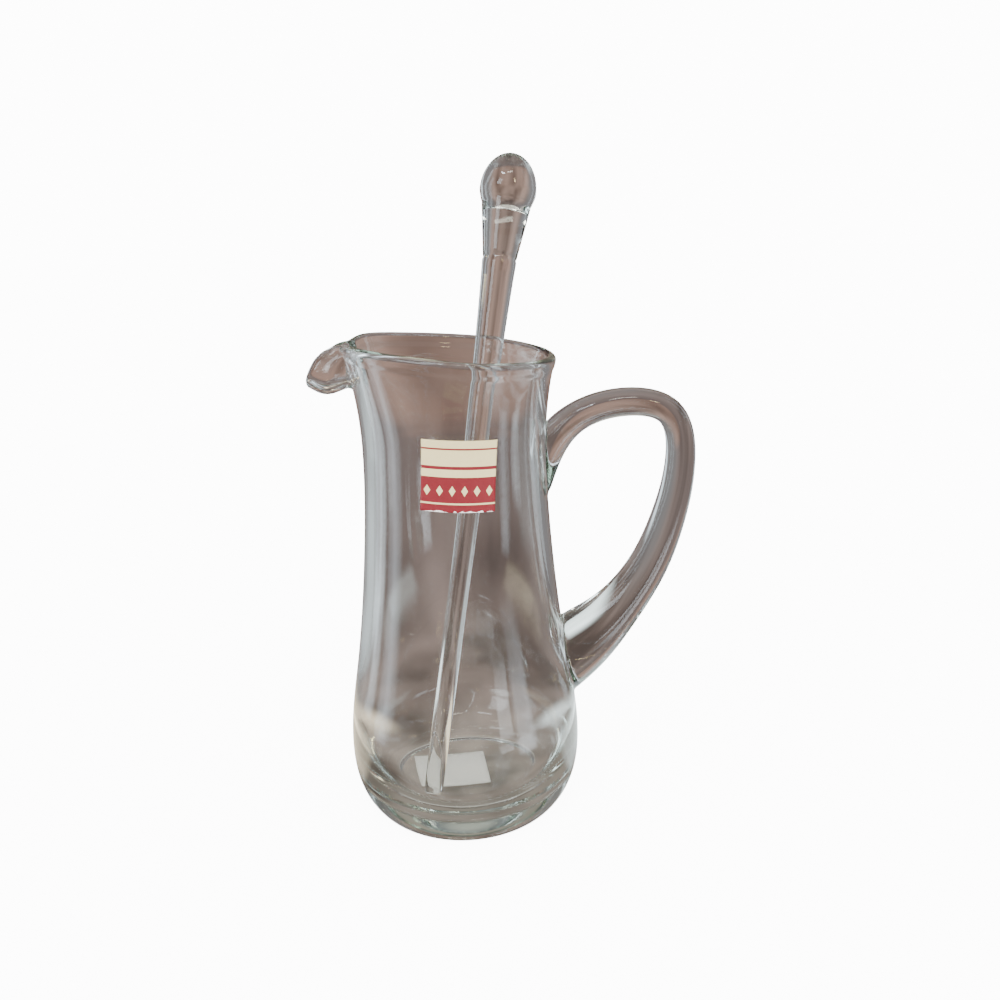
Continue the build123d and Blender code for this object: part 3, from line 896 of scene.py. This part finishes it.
def pale_world():
    """Even pale light, with the room in place of it where it is seen in the glass."""
    world = bpy.data.worlds.new("studio")
    bpy.context.scene.world = world
    world.use_nodes = True
    tree = world.node_tree
    tree.nodes.clear()
    path = node(tree, "ShaderNodeLightPath", (-600, 800))
    tone = node(tree, "ShaderNodeMix", (-500, 0), data_type="RGBA")
    tone.inputs["A"].default_value = (DAYLIGHT, DAYLIGHT, DAYLIGHT, 1)
    tone.inputs["B"].default_value = (BACKDROP, BACKDROP, BACKDROP, 1)
    link(tree, path.outputs["Is Camera Ray"], tone.inputs["Factor"])
    plain = node(tree, "ShaderNodeBackground", (-300, 0), Strength=1.0)
    link(tree, tone.outputs["Result"], plain.inputs["Color"])
    place = node(tree, "ShaderNodeTexCoord", (-2300, -200))
    room = node(tree, "ShaderNodeBackground", (-300, -200), Strength=1.0)
    link(tree, room_colour(tree, place.outputs["Generated"]), room.inputs["Color"])
    mix = node(tree, "ShaderNodeMixShader", (0, 0))
    out = node(tree, "ShaderNodeOutputWorld", (300, 0))
    link(tree, seen_in_glass(tree), mix.inputs["Fac"])
    link(tree, plain.outputs["Background"], mix.inputs[1])
    link(tree, room.outputs["Background"], mix.inputs[2])
    link(tree, mix.outputs["Shader"], out.inputs["Surface"])


def studio():
    """Floor, surroundings and camera."""
    bm = bmesh.new()
    bmesh.ops.create_grid(bm, x_segments=1, y_segments=1, size=FLOOR_HALF_SIDE * MM)
    mesh = bpy.data.meshes.new("floor")
    bm.to_mesh(mesh)
    bm.free()
    floor = bpy.data.objects.new("floor", mesh)
    bpy.context.scene.collection.objects.link(floor)
    floor.data.materials.append(pale_floor())
    pale_world()

    pitch, yaw, roll = radians(CAMERA_PITCH), radians(CAMERA_YAW), radians(CAMERA_ROLL)
    forward = Vector((sin(yaw) * cos(pitch), cos(yaw) * cos(pitch), -sin(pitch)))
    level = Vector((cos(yaw), -sin(yaw), 0))
    up = level.cross(forward)
    right = level * cos(roll) + up * sin(roll)
    up = up * cos(roll) - level * sin(roll)
    data = bpy.data.cameras.new("camera")
    data.lens = CAMERA_LENS
    data.sensor_width = CAMERA_SENSOR
    data.clip_start = CAMERA_NEAR * MM
    camera = bpy.data.objects.new("camera", data)
    bpy.context.scene.collection.objects.link(camera)
    turn = Matrix((right, up, -forward)).transposed().to_4x4()
    camera.matrix_world = Matrix.Translation(Vector(CAMERA_PLACE) * MM) @ turn
    bpy.context.scene.camera = camera


glass = clear_glass()
jug = new_piece("jug_glass", fused_jug_mesh(), "jug", "clear_glass", "jug_body", "handle")
stirrer = new_piece("stirrer_glass", stirrer_mesh(), "stirrer", "clear_glass",
                    "stirrer_rod", "stirrer_knob")
front_label = new_piece("front_label_paper", front_label_mesh(), "jug", "label_paper", "front_label")
base_label = new_piece("base_label_paper", base_label_mesh(), "jug", "blank_paper", "base_label")
for piece in (jug, stirrer):
    piece.data.materials.append(glass)
front_label.data.materials.append(label_paper())
base_label.data.materials.append(blank_paper())

studio()
# Light goes back and forth many times inside thick glass before it comes out.
bpy.context.scene.cycles.max_bounces = LIGHT_BOUNCES
bpy.context.scene.cycles.glossy_bounces = LIGHT_BOUNCES
bpy.context.scene.cycles.transmission_bounces = LIGHT_BOUNCES
